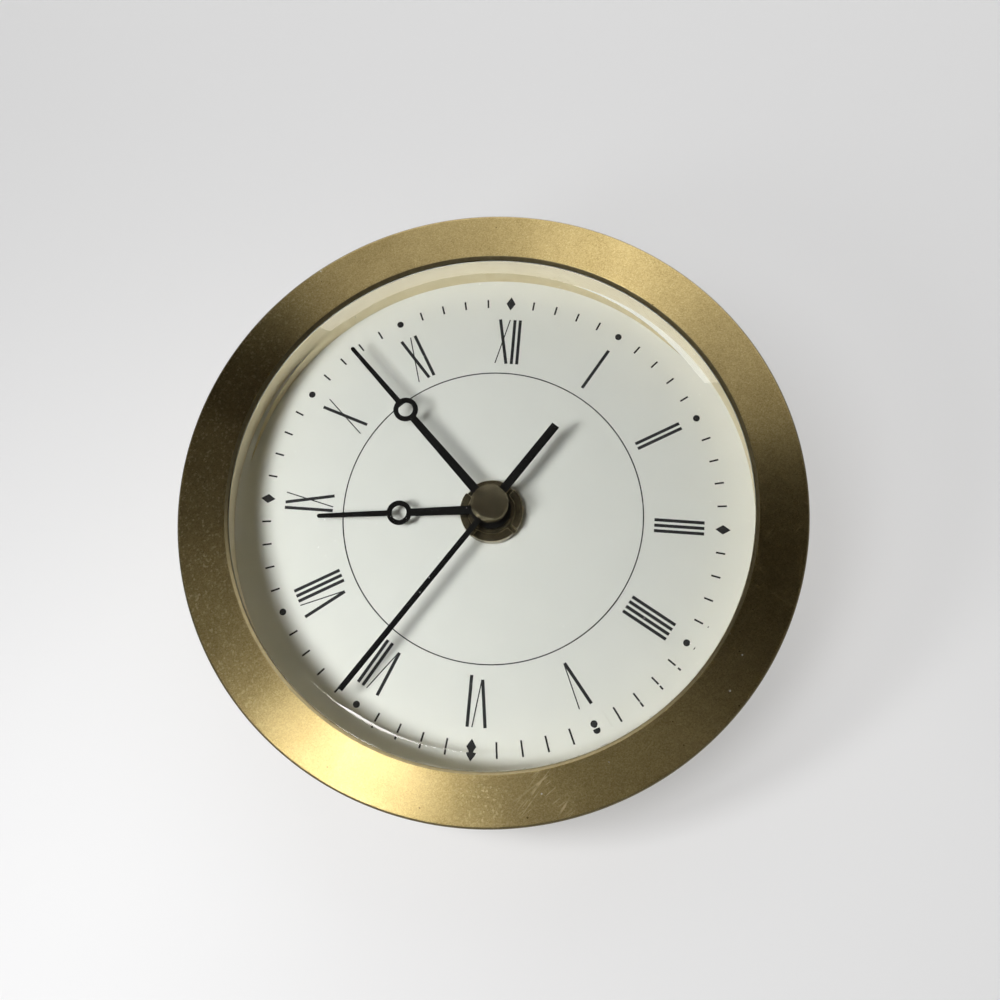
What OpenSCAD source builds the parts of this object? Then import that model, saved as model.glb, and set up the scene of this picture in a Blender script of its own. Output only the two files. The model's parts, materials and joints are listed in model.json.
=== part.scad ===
// Slanted desk clock: a turned brass drum cut at an angle, a broad flat bezel over a
// bevelled lens, a printed dial with three hands, and a battery movement held behind
// the dial by one round nut. Clock-frame heights are measured from the dial's face.

/* [Bezel and lens] */
// Outer diameter of the bezel
bezel_d = 105; // [100:0.5:112]
// Width of the bezel's face, from rim to opening
bezel_face = 8.65; // [7.8:0.05:10]
// Overhang of the bezel past the drum
bezel_overhang = 4; // [3.4:0.1:4.6]
// Width of the polished lip round the opening
bezel_lip = 0.95; // [0.5:0.05:1.5]
// Drop of the lip towards the lens
bezel_lip_drop = 0.6; // [0.3:0.05:0.9]
// Fall of the bezel's face from lip to rim
bezel_fall = 0.5; // [0.2:0.05:1]
// Height of the upright outer rim
bezel_rim = 2.8; // [2:0.1:4]
// Bevel between face and rim
bezel_edge = 0.35; // [0.2:0.05:0.6]
// Wall of the skirt that grips the drum
skirt_t = 1.2; // [0.8:0.1:2]
// Height of that skirt
skirt_h = 3; // [2:0.1:5]
// Thickness of the lens
lens_t = 2; // [1.6:0.1:2.6]
// Gap round the lens inside the bezel
lens_gap = 1.5; // [1:0.1:1.8]
// Width of the lens bevel inside the opening
lens_bevel = 3.15; // [2:0.05:5]
// Thickness of the lens flange
lens_flange_t = 0.7; // [0.4:0.1:1]
// Upright edge of the lens between its flange and its bevel
lens_edge = 0.3; // [0.1:0.1:0.5]

/* [Dial] */
// Gap between the centre cap and the lens
lens_clear = 0.4; // [0.2:0.1:3]
// Thickness of the dial plate
dial_t = 0.6; // [0.4:0.1:1.2]
// Gap between the ring that stands round the dial and the drum
ring_gap = 0.9; // [0.2:0.1:1.6]
// Radius by which the ring stands behind the bezel's opening
dial_ring_set = 0.15; // [0:0.05:0.4]

/* [Drum] */
// Angle of the dial above the table
tilt = 23.3; // [20:0.1:27]
// Wall of the drum
drum_wall = 1.2; // [0.8:0.1:1.5]
// Depth of the drum below the dial at the front
drum_front = 11; // [10:0.5:18]
// Width of the ledge under the dial
ledge_w = 2; // [1:0.1:2.3]
// Thickness of that ledge
ledge_t = 0.8; // [0.6:0.1:0.8]
// Width of the lugs that take the base screws
lug_w = 9; // [7:0.5:12]
// Reach of the lugs into the drum
lug_reach = 8.5; // [7:0.5:11]
// Height of the lugs
lug_h = 7; // [6:0.5:10]

/* [Base] */
// Thickness of the base plate
base_t = 2.5; // [2:0.1:4]
// Width of the base left at each side of the hand hole
rim_side = 18.2; // [15:0.1:21]
// Width of the base left before and behind that hole
rim_end = 20.9; // [19:0.1:24]
// Corner radius of the hand hole
window_r = 6; // [3:0.5:12]
// Height of the rubber feet
foot_h = 2; // [1.5:0.1:4]
// Diameter of the rubber feet
foot_d = 10; // [8:0.5:12]
// Distance of the feet's centres from the edge of the base
foot_inset = 6.2; // [5.4:0.1:7]
// Direction of the feet from the middle of the base, as a share of its oval
foot_dir = 57.8; // [54:0.1:62]
// Diameter of the peg that holds a foot
foot_peg_d = 3; // [2:0.1:4]
// Diameter of the base screws
screw_d = 2.5; // [2:0.1:3]
// Diameter of their heads
screw_head_d = 5; // [4:0.1:6]
// Length of the base screws
screw_l = 8; // [6:0.5:9]

/* [Hands] */
// Clock angle of the hour hand
hour_at = 263.7; // [0:0.5:360]
// Clock angle of the minute hand
minute_at = 315.2; // [0:0.5:360]
// Clock angle of the second hand
second_at = 213.7; // [0:0.5:360]
// Thickness of the hands
hand_t = 0.35; // [0.25:0.05:0.4]
// Distance of the hour hand's tip from the dial ring
hour_short = 14; // [10:0.5:18]
// Distance of the minute hand's tip from the dial ring
minute_short = 5.5; // [4:0.1:10]
// Distance of the second hand's tip from the dial ring
second_short = 4.8; // [4:0.1:10]
// Length of the second hand's tail
tail_l = 18; // [14:0.5:22]
// Distance of the hour hand's ring from the centre
hour_ring_at = 15.8; // [13:0.1:20]
// Distance of the minute hand's ring from the centre
minute_ring_at = 23.1; // [18:0.1:26]
// Outer diameter of the rings
hand_ring_d = 4.3; // [3.6:0.1:5]
// Hole of the rings
hand_ring_hole = 2.6; // [2:0.1:3]
// Width of the hour and minute hands at the centre
hand_root_w = 1.65; // [1.3:0.05:2]
// Width of these hands at their rings
hand_neck_w = 1.2; // [1:0.05:1.5]
// Width of these hands past their rings
hand_fore_w = 1; // [0.8:0.05:1.2]
// Width of these hands at the tip
hand_tip_w = 0.7; // [0.5:0.05:0.9]
// Width of the second hand's pointer
second_w = 0.94; // [0.6:0.02:1]
// Width of the second hand's tail
tail_w = 1.45; // [1:0.05:2]
// Diameter of the hour hand's boss
hour_boss_d = 6.8; // [6:0.1:8]
// Diameter of the minute hand's boss
minute_boss_d = 5.8; // [4.6:0.1:7]
// Diameter of the cap over the centre
cap_d = 6.3; // [5:0.1:8]
// Height of that cap
cap_h = 1.9; // [1.6:0.1:2.3]

/* [Movement] */
// Gap between the third wheel and the walls of the gear room
wheel_room = 1.3; // [1.2:0.1:2]
// Gap between the motor's poles and the wall over them
motor_room = 1.05; // [0.9:0.05:1.5]
// Depth of the movement
move_t = 16; // [15.8:0.1:17]
// Wall of the movement's sides
move_wall = 1.2; // [1:0.1:1.4]
// Wall of the movement's front and back
move_face = 1.4; // [1.2:0.1:1.5]
// Corner radius of the movement
move_corner = 2; // [1.5:0.1:2.5]
// Thickness of the plate between the gear rooms
plate_t = 1.2; // [1:0.1:1.3]
// Diameter of the threaded bush
bush_d = 8; // [7:0.1:9]
// Diameter of the fixing nut
nut_d = 10.9; // [10:0.1:13]
// Thickness of the fixing nut
nut_t = 1.8; // [1.4:0.1:1.9]
// Slots in the fixing nut
nut_slots = 4; // [2:1:6]
// Angle of the first slot, counter-clockwise from three o'clock
nut_turn = 53; // [0:1:90]
// Width of those slots
nut_slot_w = 0.9; // [0.6:0.1:1.4]
// Thickness of the washer under the nut
washer_t = 0.4; // [0.2:0.1:0.5]
// Thickness of the rubber washer behind the dial
pad_t = 0.8; // [0.5:0.1:1.2]
// Diameter of the rubber washer
pad_d = 18; // [14:0.5:22]
// Diameter of the setting knob
knob_d = 10; // [8:0.5:11]
// Height of the setting knob
knob_h = 4; // [3:0.5:4.5]
// Diameter of the battery
cell_d = 10.5; // [10:0.1:11]
// Length of the battery's can
cell_l = 43.5; // [42:0.1:45]
// Diameter of the battery's button
cell_nub_d = 3.8; // [3:0.1:4.5]
// Length of the battery's button
cell_nub_l = 0.9; // [0.7:0.1:1.2]
// Length of the pressed battery spring
spring_l = 0.8; // [0.5:0.1:3]
// Depth of the battery below the movement's back
cell_sink = 1; // [0.6:0.1:2]

/* [Gears] */
// Module of the hand gearing in front of the plate
motion_mod = 0.5; // [0.49:0.005:0.51]
// Module of the pair from seconds to third wheel
third_mod = 0.36; // [0.355:0.005:0.365]
// Module of the pairs between motor and seconds
motor_mod = 0.3; // [0.295:0.005:0.305]
// Running clearance of shafts and tubes
run_clear = 0.06; // [0.03:0.01:0.08]

/* [Hidden] */
$fn = 96;

// Cutting tools run past the faces that they cut by this much
over = 1;
// Wide cuts reach out to here
far = 2 * bezel_d;
// Sideways play of pieces that are dropped into place
seat_play = 0.1;
// Play of screws, pegs and threads in their holes
screw_play = 0.05;

// Stack on the centre, in the clock frame
bush_proud = 0.2;
hour_lift = 0.65;
hand_gap = 0.45;
minute_lift = 1.35;
cap_roof = 0.3;
// Collar under a hand: its height, and how far it stands inside the boss
collar_t = 0.25;
collar_inset = 0.4;
nut_low = washer_t;
nut_top = nut_low + nut_t;
bush_top = nut_top + bush_proud;
hour_low = bush_top + hour_lift;
hour_top = hour_low + hand_t;
minute_low = hour_top + minute_lift;
minute_top = minute_low + hand_t;
second_low = minute_top + hand_gap;
second_top = second_low + hand_t;
cap_top = second_top + cap_h;
arbor_top = cap_top - cap_roof;
bush_r = bush_d / 2;

// Bezel, lens and drum, as radii and heights in the clock frame
bezel_r = bezel_d / 2;
open_r = bezel_r - bezel_face;
drum_r = bezel_r - bezel_overhang;
drum_in = drum_r - drum_wall;
lens_r = drum_in - lens_gap;
lens_flat_r = open_r - lens_bevel;
lens_low = cap_top + lens_clear;
face_top = lens_low + lens_t;
flange_top = lens_low + lens_flange_t;
rim_top = face_top - bezel_fall - bezel_edge;
drum_top = rim_top - bezel_rim;
skirt_in = drum_r + screw_play;
ledge_top = -dial_t;
ring_in = open_r + dial_ring_set;
ring_out = drum_in - ring_gap;
hour_l = ring_in - hour_short;
minute_l = ring_in - minute_short;
second_l = ring_in - second_short;

// The clock frame stands on the table at the drum's front edge
table_cut = foot_h;
dial_h = table_cut + drum_r * sin(tilt) + drum_front * cos(tilt);
base_back = (dial_h - table_cut) * tan(tilt);
reach_front = bezel_r * cos(tilt) + rim_top * sin(tilt);
reach_back = base_back + drum_r / cos(tilt);
dial_y = (reach_front - reach_back) / 2;
base_y = dial_y + base_back;
drum_l = dial_h / cos(tilt) + drum_r * tan(tilt);

// The base is an oval: its half width and half length, and what sits on it
base_half = [drum_in - seat_play, (drum_in - seat_play) / cos(tilt)];
window = base_half - [rim_side, rim_end];
foot_oval = base_half - [foot_inset, foot_inset];
foot_corner = [foot_oval[0] * cos(foot_dir), foot_oval[1] * sin(foot_dir)];
foot_at = [for (x = [-1, 1], y = [-1, 1]) [x * foot_corner[0], y * foot_corner[1]]];
lug_mid = lug_reach / 2;
lug_low = table_cut + base_t;
// The drum's back leans over its lug by this much at half the lug's height
lug_lean = lug_h * tan(tilt) / 2;
base_screw_at = [[base_half[0] - lug_mid, 0], [lug_mid - base_half[0], 0],
    [0, lug_mid - base_half[1]], [0, base_half[1] - lug_mid - lug_lean]];

// Shaft radii, each inside the next
arbor_r = 0.6;
cannon_r = 1.75;
hour_tube_r = 2.5;
setting_arbor_r = 1;
bush_in = hour_tube_r + run_clear;
hour_tube_in = cannon_r + run_clear;
cannon_in = arbor_r + run_clear;

// Movement heights in the clock frame, from front to back
wheel_t = 1;
layer_gap = 0.5;
clutch_gap = 0.7;
wheel_shake = 0.2;
flange_t = 0.4;
front_z = ledge_top - pad_t;
front_in = front_z - move_face;
back_z = front_z - move_t;
back_in = back_z + move_face;
hour_wheel_z = front_in - flange_t - wheel_shake - wheel_t;
motion_wheel_z = hour_wheel_z - layer_gap - wheel_t;
plate_top = motion_wheel_z - layer_gap;
plate_low = plate_top - plate_t;
minute_wheel_z = plate_low - layer_gap - wheel_t;
third_wheel_z = minute_wheel_z - clutch_gap - wheel_t;
second_wheel_z = third_wheel_z - layer_gap - wheel_t;
transfer_wheel_z = second_wheel_z - layer_gap - wheel_t;
hub_low = back_in + layer_gap / 2;
arbor_low = back_in - move_face / 2;
// Teeth of a pinion run past the wheel that they drive by this much
tooth_past = 0.1;
// Pins and studs run past their wheels by this much
pin_past = 0.2;

// Teeth of each wheel and pinion
cannon_n = 10;
motion_n = 30;
motion_pinion_n = 8;
hour_n = 32;
setting_n = 10;
second_pinion_n = 8;
third_n = 60;
third_pinion_n = 8;
minute_n = 64;
transfer_pinion_n = 8;
second_n = 48;
rotor_pinion_n = 8;
transfer_n = 40;
// The minute pair spans the same distance as the third pair
minute_mod = third_mod * (second_pinion_n + third_n) / (third_pinion_n + minute_n);

// Directions from axis to axis, counter-clockwise from three o'clock
motion_dir = 0;
setting_dir = -40;
third_dir = 210;
transfer_dir = 90;
rotor_dir = 127;
function polar(r, a) = [r * cos(a), r * sin(a)];
function span(n_a, n_b, m) = m * (n_a + n_b) / 2;
motion_at = polar(span(cannon_n, motion_n, motion_mod), motion_dir);
setting_axis = motion_at + polar(span(motion_n, setting_n, motion_mod), setting_dir);
third_at = polar(span(second_pinion_n, third_n, third_mod), third_dir);
transfer_at = polar(span(transfer_pinion_n, second_n, motor_mod), transfer_dir);
rotor_at = transfer_at + polar(span(rotor_pinion_n, transfer_n, motor_mod), rotor_dir);

// Turn of gear b that meshes with gear a in direction dir from a to b
function meshed(turn_a, n_a, n_b, dir) = dir + 180 - (turn_a - dir) * n_a / n_b + 180 / n_b;
cannon_turn = 0;
motion_turn = meshed(cannon_turn, cannon_n, motion_n, motion_dir);
motion_pinion_turn = motion_turn;
hour_turn = meshed(motion_pinion_turn, motion_pinion_n, hour_n, motion_dir + 180);
setting_turn = meshed(motion_turn, motion_n, setting_n, setting_dir);
second_turn = 0;
third_turn = meshed(second_turn, second_pinion_n, third_n, third_dir);
minute_turn = meshed(third_turn, third_pinion_n, minute_n, third_dir + 180);
transfer_turn = meshed(second_turn, second_n, transfer_pinion_n, transfer_dir);
rotor_turn = meshed(transfer_turn, transfer_n, rotor_pinion_n, rotor_dir);

// Tooth form, in modules of height and shares of the pitch
tip_height = 0.8;
root_depth = 1.15;
root_share = 0.27;
tip_share = 0.1;
function root_r(n, m) = n * m / 2 - root_depth * m;
function tip_r(n, m) = n * m / 2 + tip_height * m;
function tooth(r_root, r_tip, pitch, a) = [polar(r_root, a - root_share * pitch),
    polar(r_tip, a - tip_share * pitch), polar(r_tip, a + tip_share * pitch),
    polar(r_root, a + root_share * pitch)];

// Motor
pin_r = 0.4;
stud_r = 0.6;
magnet_r = 2.2;
magnet_t = 1.6;
magnet_gap = 0.4;
stator_t = 0.8;
stator_drop = 0.1;
stator_z = second_wheel_z - stator_drop;
pole_r = 4.2;
core_w = 2.4;
core_t = 1;
core_z = stator_z - core_t;
coil_r = 2.2;
coil_flange_r = 2.6;
coil_flange_t = 0.6;
bobbin_wall = 0.3;
sleeve_r = norm([core_w, core_t]) / 2 + bobbin_wall;
arm_w = 1.8;

// Rooms of the movement: the wheels, the motor and the battery set their size
leaf_t = 0.4;
cell_r = cell_d / 2;
cell_play = 0.2;
cell_x = (cell_l + cell_nub_l + spring_l) / 2 + leaf_t;
third_reach = tip_r(third_n, third_mod) + wheel_room;
room_x = max(third_reach - third_at[0], cell_x);
room_low = third_at[1] - third_reach;
gear_up = rotor_at[1] + pole_r + motor_room;
move_r = room_x + move_wall;
move_down = move_wall - room_low;
cell_room_low = gear_up + move_wall;
cell_y = cell_room_low + cell_play + cell_r;
cell_room_top = cell_y + cell_r + cell_play;
move_up = cell_room_top + move_wall;
cell_z = back_z + cell_sink + cell_r;
cell_floor = min(front_in, cell_z + cell_r + cell_play);

// Posts that hold the two halves of the case together, and their screws
post_r = 2.4;
post_gap = 0.2;
upper_post_y = 4;
post_x = room_x - post_r - post_gap;
post_at = [for (x = [-post_x, post_x], y = [room_low + post_r + post_gap, upper_post_y]) [x, y]];
case_screw_r = 0.9;
case_screw_head_r = 1.7;
case_screw_head_t = 0.9;
case_screw_short = 0.8;
blind_gap = 0.4;
case_screw_top = front_in - case_screw_short;

// Places of the motor's iron
iron_gap = 0.5;
coil_set = 3;
core_right = rotor_at[0] - pole_r;
core_left = iron_gap - room_x;
coil_right = core_right - coil_set;
coil_left = core_left + core_w + iron_gap;
arm_y = gear_up - iron_gap - arm_w;

// Circuit
board_t = 1;
board_lift = 0.4;
board_gap = 0.7;
board_z = transfer_wheel_z + board_lift;
board_low = [8.5, 8.4];
board_high = [room_x - board_gap, gear_up - board_gap];
board_top = board_z + board_t;
board_post_r = 1.3;
board_posts = [[board_low[0] + board_post_r, board_high[1] - board_post_r],
    [board_high[0] - board_post_r, board_low[1] + board_post_r]];

// Battery contacts
leaf_w = 7;
leaf_l = 9;
nub_end = cell_x - leaf_t;
can_end = nub_end - cell_nub_l;
can_start = can_end - cell_l;
spring_d = 5;

module in_clock() {
    translate([0, dial_y, dial_h])
        rotate([tilt, 0, 0])
            children();
}

// Pieces that hang from a point of the movement
module on_axis(at) {
    translate([at[0], at[1], 0])
        children();
}

module rod(r, low, high) {
    translate([0, 0, low])
        cylinder(r = r, h = high - low);
}

module tube(r, bore, low, high) {
    difference() {
        rod(r, low, high);
        rod(bore, low - over, high + over);
    }
}

module slab(low, high, z_low, z_high) {
    translate([low[0], low[1], z_low])
        cube([high[0] - low[0], high[1] - low[1], z_high - z_low]);
}

module round_rect(low, high, r) {
    translate([low[0] + r, low[1]])
        square([high[0] - low[0] - 2 * r, high[1] - low[1]]);
    translate([low[0], low[1] + r])
        square([high[0] - low[0], high[1] - low[1] - 2 * r]);
    for (x = [low[0] + r, high[0] - r], y = [low[1] + r, high[1] - r])
        translate([x, y])
            circle(r);
}

module round_slab(low, high, r, z_low, z_high) {
    translate([0, 0, z_low])
        linear_extrude(z_high - z_low)
            round_rect(low, high, r);
}

module gear(n, m, turn, low, high) {
    r_root = root_r(n, m);
    r_tip = tip_r(n, m);
    translate([0, 0, low])
        linear_extrude(high - low)
            polygon([for (i = [0:n - 1]) each tooth(r_root, r_tip, 360 / n, turn + i * 360 / n)]);
}

module bezel() {
    color("goldenrod")
        in_clock()
            rotate_extrude()
                polygon([[open_r, flange_top], [drum_in, flange_top], [drum_in, drum_top],
                    [skirt_in, drum_top], [skirt_in, drum_top - skirt_h],
                    [skirt_in + skirt_t, drum_top - skirt_h], [skirt_in + skirt_t, drum_top],
                    [bezel_r, drum_top], [bezel_r, rim_top], [bezel_r - bezel_edge, rim_top + bezel_edge],
                    [open_r + bezel_lip, face_top], [open_r, face_top - bezel_lip_drop]]);
}

module lens() {
    color("lightcyan", 0.35)
        in_clock()
            rotate_extrude()
                polygon([[0, lens_low], [lens_r, lens_low], [lens_r, flange_top],
                    [open_r - seat_play, flange_top], [open_r - seat_play, flange_top + lens_edge],
                    [lens_flat_r, face_top], [0, face_top]]);
}

module dial_ring() {
    color("khaki")
        in_clock()
            tube(ring_out, ring_in, 0, lens_low);
}

module dial() {
    color("ivory")
        in_clock()
            tube(drum_in - seat_play, bush_r + seat_play, ledge_top, 0);
}

// Round shell, ledge for the dial and four lugs, all cut level with the base
module drum_case() {
    color("darkgoldenrod")
        difference() {
            union() {
                in_clock()
                    difference() {
                        rod(drum_r, -drum_l, drum_top);
                        rod(drum_in, -drum_l - over, ledge_top - ledge_t);
                        rod(drum_in - ledge_w, -drum_l - over, drum_top + over);
                        rod(drum_in, ledge_top, drum_top + over);
                    }
                intersection() {
                    in_clock()
                        rod(drum_r - drum_wall / 2, -drum_l, ledge_top);
                    base_lugs();
                }
            }
            slab([-far, -far], [far, far], table_cut - far, table_cut);
            for (at = base_screw_at)
                translate([at[0], base_y + at[1], 0])
                    rod(screw_d / 2 + screw_play, lug_low - over, table_cut + screw_l + screw_play);
        }
}

module base_lugs() {
    for (at = base_screw_at) {
        out = at / norm(at);
        side = [abs(out[1]), abs(out[0])] * lug_w / 2;
        inner = at - out * lug_reach / 2;
        outer = at + out * far;
        low = [min(inner[0], outer[0]), min(inner[1], outer[1])] - side;
        high = [max(inner[0], outer[0]), max(inner[1], outer[1])] + side;
        translate([0, base_y, 0])
            slab(low, high, lug_low, lug_low + lug_h);
    }
}

module base_plate() {
    color("dimgray")
        difference() {
            intersection() {
                in_clock()
                    rod(drum_in - seat_play, -drum_l, ledge_top);
                slab([-far, -far], [far, far], table_cut, lug_low);
            }
            translate([0, base_y, 0]) {
                round_slab(-window, window, window_r, table_cut - over, lug_low + over);
                for (at = base_screw_at)
                    on_axis(at)
                        base_screw_shape(screw_play);
                for (at = foot_at)
                    on_axis(at)
                        rod(foot_peg_d / 2 + screw_play, table_cut - over, lug_low + over);
            }
        }
}

// Countersunk screw that stands on its head at the base's underside
module base_screw_shape(play) {
    head_r = screw_head_d / 2;
    shank_r = screw_d / 2;
    cone_t = head_r - shank_r;
    translate([0, 0, table_cut])
        cylinder(r1 = head_r + play, r2 = shank_r + play, h = cone_t);
    rod(shank_r + play, table_cut + cone_t / 2, table_cut + screw_l);
}

module base_screws() {
    slot_w = 0.8;
    slot_t = 0.6;
    color("silver")
        translate([0, base_y, 0])
            for (at = base_screw_at)
                on_axis(at)
                    difference() {
                        base_screw_shape(0);
                        translate([-screw_head_d, -slot_w / 2, table_cut - over])
                            cube([2 * screw_head_d, slot_w, slot_t + over]);
                    }
}

module rubber_feet() {
    edge = 0.5;
    color("black")
        translate([0, base_y, 0])
            for (at = foot_at)
                on_axis(at) {
                    cylinder(r1 = foot_d / 2 - edge, r2 = foot_d / 2, h = edge);
                    rod(foot_d / 2, edge, table_cut);
                    rod(foot_peg_d / 2, table_cut, lug_low);
                }
}

module fixing_nut() {
    slot_reach = 1.5;
    slot_t = 1.2;
    color("gold")
        in_clock()
            difference() {
                tube(nut_d / 2, bush_r + screw_play, nut_low, nut_top);
                for (i = [0:nut_slots - 1])
                    rotate([0, 0, nut_turn - i * 360 / nut_slots])
                        translate([nut_d / 2 - slot_reach, -nut_slot_w / 2, nut_top - slot_t])
                            cube([slot_reach + over, nut_slot_w, slot_t + over]);
            }
}

module fixing_washer() {
    inset = 0.25;
    color("goldenrod")
        in_clock()
            tube(nut_d / 2 - inset, bush_r + screw_play, 0, washer_t);
}

module rubber_washer() {
    color("black")
        in_clock()
            tube(pad_d / 2, bush_r + seat_play, front_z, ledge_top);
}

// Threaded bush with a flange behind the movement's front wall
module centre_bush() {
    flange_w = 2;
    color("gold")
        in_clock() {
            tube(bush_r, bush_in, front_in, bush_top);
            tube(bush_r + flange_w, bush_in, front_in - flange_t, front_in);
        }
}

module hand_2d(length, ring_at, boss_d) {
    ring_r = hand_ring_d / 2;
    difference() {
        union() {
            circle(d = boss_d);
            polygon([[-hand_root_w / 2, 0], [hand_root_w / 2, 0], [hand_neck_w / 2, ring_at],
                [-hand_neck_w / 2, ring_at]]);
            translate([0, ring_at])
                circle(ring_r);
            polygon([[-hand_fore_w / 2, ring_at], [hand_fore_w / 2, ring_at],
                [hand_tip_w / 2, length - hand_tip_w / 2], [-hand_tip_w / 2, length - hand_tip_w / 2]]);
            translate([0, length - hand_tip_w / 2])
                circle(d = hand_tip_w);
        }
        translate([0, ring_at])
            circle(d = hand_ring_hole);
    }
}

// A flat hand pressed on its tube, with a collar below it
module hand(length, ring_at, boss_d, bore, at, low) {
    in_clock()
        difference() {
            union() {
                rotate([0, 0, -at])
                    translate([0, 0, low])
                        linear_extrude(hand_t)
                            hand_2d(length, ring_at, boss_d);
                rod(boss_d / 2 - collar_inset, low - collar_t, low + hand_t / 2);
            }
            rod(bore, low - over, low + hand_t + over);
        }
}

module hour_hand() {
    color("black")
        hand(hour_l, hour_ring_at, hour_boss_d, hour_tube_r, hour_at, hour_low);
}

module minute_hand() {
    color("black")
        hand(minute_l, minute_ring_at, minute_boss_d, cannon_r, minute_at, minute_low);
}

module second_hand() {
    hub_inset = 0.5;
    color("black")
        in_clock()
            rotate([0, 0, -second_at])
                difference() {
                    translate([0, 0, second_low])
                        linear_extrude(hand_t) {
                            circle(cap_d / 2 - hub_inset);
                            translate([-second_w / 2, 0])
                                square([second_w, second_l]);
                            translate([-tail_w / 2, -tail_l])
                                square([tail_w, tail_l]);
                        }
                    rod(arbor_r, second_low - over, second_top + over);
                }
}

// Turned cap with a softened top edge, bored from below for the arbor
module second_cap() {
    edge = 0.3;
    cap_r = cap_d / 2;
    color("goldenrod")
        in_clock()
            translate([0, 0, second_top])
                rotate_extrude()
                    polygon([[arbor_r, 0], [cap_r, 0], [cap_r, cap_h - edge],
                        [cap_r - edge, cap_h], [0, cap_h],
                        [0, cap_h - cap_roof], [arbor_r, cap_h - cap_roof]]);
}

module case_outline(z_low, z_high) {
    round_slab([-move_r, -move_down], [move_r, move_up], move_corner, z_low, z_high);
}

module gear_room(z_low, z_high, play = 0) {
    slab([play - room_x, room_low + play], [room_x - play, gear_up - play], z_low, z_high);
}

module cell_room(z_low, z_high) {
    slab([-cell_x, cell_room_low], [cell_x, cell_room_top], z_low, z_high);
}

module posts(z_low, z_high) {
    for (at = post_at)
        on_axis(at)
            rod(post_r, z_low, z_high);
}

module post_holes(z_low, z_high) {
    for (at = post_at)
        on_axis(at)
            rod(case_screw_r + screw_play, z_low, z_high);
}

// Front half of the movement, with the dial bush's seat and the plate's posts
module movement_front() {
    color("whitesmoke")
        in_clock()
            difference() {
                union() {
                    difference() {
                        case_outline(plate_low, front_z);
                        gear_room(plate_low - over, front_in);
                        cell_room(plate_low - over, cell_floor);
                    }
                    posts(plate_top, front_in);
                }
                rod(bush_r + screw_play, front_in - over, front_z + over);
                post_holes(plate_top - over, case_screw_top + blind_gap);
            }
}

module movement_plate() {
    color("white")
        in_clock() {
            difference() {
                gear_room(plate_low, plate_top, seat_play);
                rod(hour_tube_in, plate_low - over, plate_top + over);
                on_axis(setting_axis)
                    rod(setting_arbor_r + run_clear, plate_low - over, plate_top + over);
                post_holes(plate_low - over, plate_top + over);
            }
            on_axis(motion_at)
                rod(stud_r, plate_top, hour_wheel_z + wheel_t);
            on_axis(third_at)
                rod(stud_r, third_wheel_z - pin_past, plate_low);
        }
}

// Back half of the movement, open behind the battery
module movement_back() {
    color("whitesmoke")
        in_clock() {
            difference() {
                union() {
                    difference() {
                        case_outline(back_z, plate_low);
                        gear_room(back_in, plate_low + over);
                        cell_room(back_z - over, plate_low + over);
                    }
                    posts(back_in, plate_low);
                }
                rod(arbor_r + run_clear, arbor_low, back_in + over);
                on_axis(setting_axis)
                    rod(setting_arbor_r + run_clear, back_z - over, back_in + over);
                post_holes(back_z - over, plate_low + over);
                for (at = post_at)
                    on_axis(at)
                        rod(case_screw_head_r + screw_play, back_z - over, back_z + case_screw_head_t);
            }
            on_axis(transfer_at)
                rod(pin_r, back_in, second_wheel_z + wheel_t + pin_past);
            on_axis(rotor_at)
                rod(pin_r, back_in, stator_z + magnet_t);
            for (x = [core_left + core_w / 2, core_right - core_w / 2])
                on_axis([x, rotor_at[1]])
                    rod(core_w / 2, back_in, core_z);
            for (at = board_posts)
                on_axis(at)
                    rod(board_post_r, back_in, board_z);
        }
}

module movement_screws() {
    slot_w = 0.5;
    color("silver")
        in_clock()
            for (at = post_at)
                on_axis(at)
                    difference() {
                        union() {
                            rod(case_screw_head_r, back_z, back_z + case_screw_head_t);
                            rod(case_screw_r, back_z, case_screw_top);
                        }
                        translate([-post_r, -slot_w / 2, back_z - over])
                            cube([2 * post_r, slot_w, over + case_screw_head_t / 2]);
                    }
}

// Hour wheel and the tube that carries the hour hand
module hour_wheel() {
    color("white")
        in_clock()
            difference() {
                union() {
                    gear(hour_n, motion_mod, hour_turn, hour_wheel_z, hour_wheel_z + wheel_t);
                    rod(hour_tube_r, hour_wheel_z, hour_top);
                }
                rod(hour_tube_in, hour_wheel_z - over, hour_top + over);
            }
}

// Tube of the minute hand, with the pinion of the hand gearing and a shoulder
// that the minute wheel grips
module cannon_pinion() {
    shoulder_w = 0.8;
    shoulder_t = 0.3;
    shoulder_z = minute_wheel_z - tooth_past - shoulder_t;
    color("gold")
        in_clock()
            difference() {
                union() {
                    rod(cannon_r, shoulder_z, minute_top);
                    rod(cannon_r + shoulder_w, shoulder_z, shoulder_z + shoulder_t);
                    gear(cannon_n, motion_mod, cannon_turn,
                        motion_wheel_z - tooth_past, motion_wheel_z + wheel_t + tooth_past);
                }
                rod(cannon_in, shoulder_z - over, minute_top + over);
            }
}

module motion_wheel() {
    hub_t = layer_gap - wheel_shake;
    pinion_top = hour_wheel_z + wheel_t + tooth_past;
    color("white")
        in_clock()
            on_axis(motion_at)
                difference() {
                    union() {
                        gear(motion_n, motion_mod, motion_turn, motion_wheel_z, motion_wheel_z + wheel_t);
                        gear(motion_pinion_n, motion_mod, motion_pinion_turn,
                            motion_wheel_z + wheel_t, pinion_top);
                        rod(root_r(motion_pinion_n, motion_mod), motion_wheel_z - hub_t, motion_wheel_z);
                    }
                    rod(stud_r + run_clear, motion_wheel_z - over, pinion_top + over);
                }
}

module minute_wheel() {
    color("white")
        in_clock()
            difference() {
                gear(minute_n, minute_mod, minute_turn, minute_wheel_z, minute_wheel_z + wheel_t);
                rod(cannon_r + run_clear, minute_wheel_z - over, minute_wheel_z + wheel_t + over);
            }
}

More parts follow.
